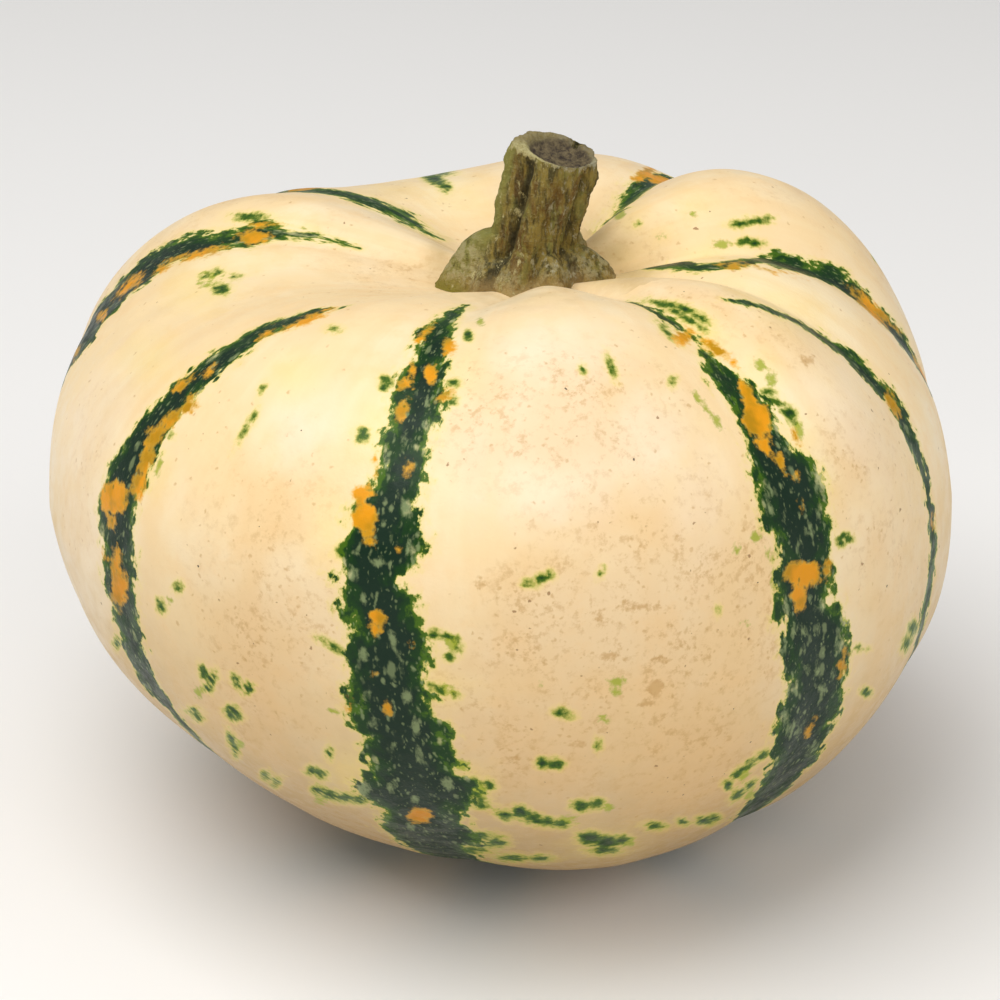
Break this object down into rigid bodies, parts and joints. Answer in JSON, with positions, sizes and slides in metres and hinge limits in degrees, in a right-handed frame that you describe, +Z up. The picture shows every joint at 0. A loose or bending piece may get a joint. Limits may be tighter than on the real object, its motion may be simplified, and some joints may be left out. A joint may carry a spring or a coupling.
{
  "type": "pumpkin",
  "caption": "Small ribbed ornamental pumpkin with a flattened striped cream body and a short cut stem, resting on its flat underside as decoration or produce.",
  "frame": {"origin": "middle of the footprint's box, on the surface the pumpkin stands on", "axes": "+Z up through the stem, -Y towards the lobe that faces the picture's camera, +X to that camera's right"},
  "size_m": [0.1194, 0.1321, 0.098],
  "materials": {
    "rind": "waxy satin cream rind with dark green and orange stripes in the grooves",
    "dry_stem": "matte dry olive-brown corky stem"
  },
  "bodies": {
    "root": {"fruit": "rind", "stem": "dry_stem"}
  },
  "joints": []
}
